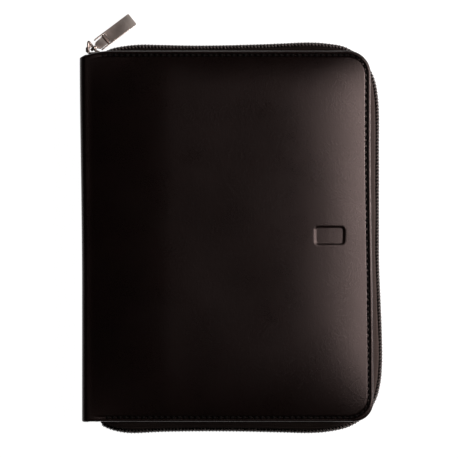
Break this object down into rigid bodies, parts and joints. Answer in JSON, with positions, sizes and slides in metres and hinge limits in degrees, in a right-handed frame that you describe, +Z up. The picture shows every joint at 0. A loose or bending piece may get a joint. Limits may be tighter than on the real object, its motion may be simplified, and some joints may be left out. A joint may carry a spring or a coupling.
{
  "type": "zippered ring planner",
  "caption": "Padded leather ring planner with a zip round three sides, a pull, opening ring mechanism, tabbed page stack, card slots and pen loop.",
  "frame": {"origin": "centre of the back cover's outer face, on which the closed planner lies", "axes": "+Z up through the front cover, +Y towards the head edge, spine at -X and fore edge at +X"},
  "size_m": [0.1446, 0.2024, 0.0414],
  "materials": {
    "leather": "smooth black-brown leather, fine grain, soft sheen",
    "board": "grey stiffening board",
    "foam": "thin foam padding",
    "lining": "matt black lining",
    "zip_tape": "woven black tape",
    "zip_coil": "black moulded coil",
    "elastic": "ribbed black elastic",
    "nickel": "satin nickel plate",
    "ring_steel": "bright nickel plate",
    "paper": "cream paper",
    "divider_card": "thin coloured card",
    "flyleaf": "thin dark card"
  },
  "bodies": {
    "back_cover": {"back_leather": "leather", "back_board": "board", "back_lining": "lining", "back_pocket": "lining", "pen_loop": "elastic", "back_tape": "zip_tape", "back_coil": "zip_coil", "bottom_stop": "nickel"},
    "spine": {"spine_leather": "leather", "spine_board": "board", "spine_lining": "lining", "ring_base": "ring_steel", "base_rivet_1": "ring_steel", "base_rivet_2": "ring_steel"},
    "front_cover": {"front_leather": "leather", "front_foam": "foam", "front_board": "board", "front_lining": "lining", "front_pocket": "lining", "card_slot_1": "lining", "card_slot_2": "lining", "card_slot_3": "lining", "front_tape": "zip_tape", "front_coil": "zip_coil"},
    "ring_half_front": {"blade_front": "ring_steel", "ring_front_1": "ring_steel", "ring_front_2": "ring_steel", "ring_front_3": "ring_steel", "ring_front_4": "ring_steel", "ring_front_5": "ring_steel", "ring_front_6": "ring_steel"},
    "ring_half_back": {"blade_back": "ring_steel", "ring_back_1": "ring_steel", "ring_back_2": "ring_steel", "ring_back_3": "ring_steel", "ring_back_4": "ring_steel", "ring_back_5": "ring_steel", "ring_back_6": "ring_steel"},
    "lever_top": {"lever_top": "ring_steel"},
    "lever_bottom": {"lever_bottom": "ring_steel"},
    "pages_front": {"pages_2": "paper", "divider_2": "divider_card", "pages_1": "paper", "divider_1": "divider_card", "flyleaf_front": "flyleaf"},
    "pages_back": {"pages_3": "paper", "divider_3": "divider_card", "pages_4": "paper", "divider_4": "divider_card", "flyleaf_back": "flyleaf"},
    "zip_slider": {"slider_body": "nickel", "slider_crown": "nickel"},
    "pull_link": {"pull_link": "nickel"},
    "pull_tab": {"pull_tab": "nickel"}
  },
  "joints": [
    {"name": "cover_open", "type": "hinge", "parent": "back_cover", "child": "spine", "pos_m": [-0.0707, 0, 0.0012], "axis": [0, -1, 0], "range_deg": [0, 88]},
    {"name": "front_fold", "type": "hinge", "parent": "spine", "child": "front_cover", "pos_m": [-0.0707, 0, 0.0368], "axis": [0, -1, 0], "range_deg": [0, 88]},
    {"name": "pages_front_turn", "type": "hinge", "parent": "spine", "child": "pages_front", "pos_m": [-0.0536, 0, 0.019], "axis": [0, -1, 0], "range_deg": [0, 90]},
    {"name": "pages_back_turn", "type": "hinge", "parent": "spine", "child": "pages_back", "pos_m": [-0.0536, 0, 0.019], "axis": [0, -1, 0], "range_deg": [-90, 0]},
    {"name": "ring_open", "type": "hinge", "parent": "spine", "child": "ring_half_front", "pos_m": [-0.0662, 0, 0.0274], "axis": [0, -1, 0], "range_deg": [0, 11]},
    {"name": "ring_back_open", "type": "hinge", "parent": "spine", "child": "ring_half_back", "pos_m": [-0.0662, 0, 0.0106], "axis": [0, -1, 0], "range_deg": [-11, 0]},
    {"name": "lever_top_press", "type": "hinge", "parent": "spine", "child": "lever_top", "pos_m": [-0.0652, 0.0785, 0.019], "axis": [0, 0, 1], "range_deg": [0, 18]},
    {"name": "lever_bottom_press", "type": "hinge", "parent": "spine", "child": "lever_bottom", "pos_m": [-0.0652, -0.0785, 0.019], "axis": [0, 0, 1], "range_deg": [-18, 0]},
    {"name": "zip_slide", "type": "slide", "parent": "back_cover", "child": "zip_slider", "axis": [0.9985, 0.0557, 0], "range_m": [0, 0.0898]},
    {"name": "pull_swing", "type": "hinge", "parent": "zip_slider", "child": "pull_link", "pos_m": [-0.0662, 0.0916, 0.019], "axis": [0.6239, -0.7815, 0], "range_deg": [0, 95]},
    {"name": "tab_fold", "type": "hinge", "parent": "pull_link", "child": "pull_tab", "pos_m": [-0.06066, 0.09602, 0.01345], "axis": [0.6239, -0.7815, 0], "range_deg": [0, 65]}
  ],
  "couplings": [
    {"joint": "front_fold", "follows": "cover_open", "ratio": 1},
    {"joint": "pages_front_turn", "follows": "cover_open", "ratio": 1.02},
    {"joint": "pages_back_turn", "follows": "cover_open", "ratio": -1.02},
    {"joint": "ring_back_open", "follows": "ring_open", "ratio": -1},
    {"joint": "lever_top_press", "follows": "ring_open", "ratio": 1.6},
    {"joint": "lever_bottom_press", "follows": "ring_open", "ratio": -1.6}
  ]
}
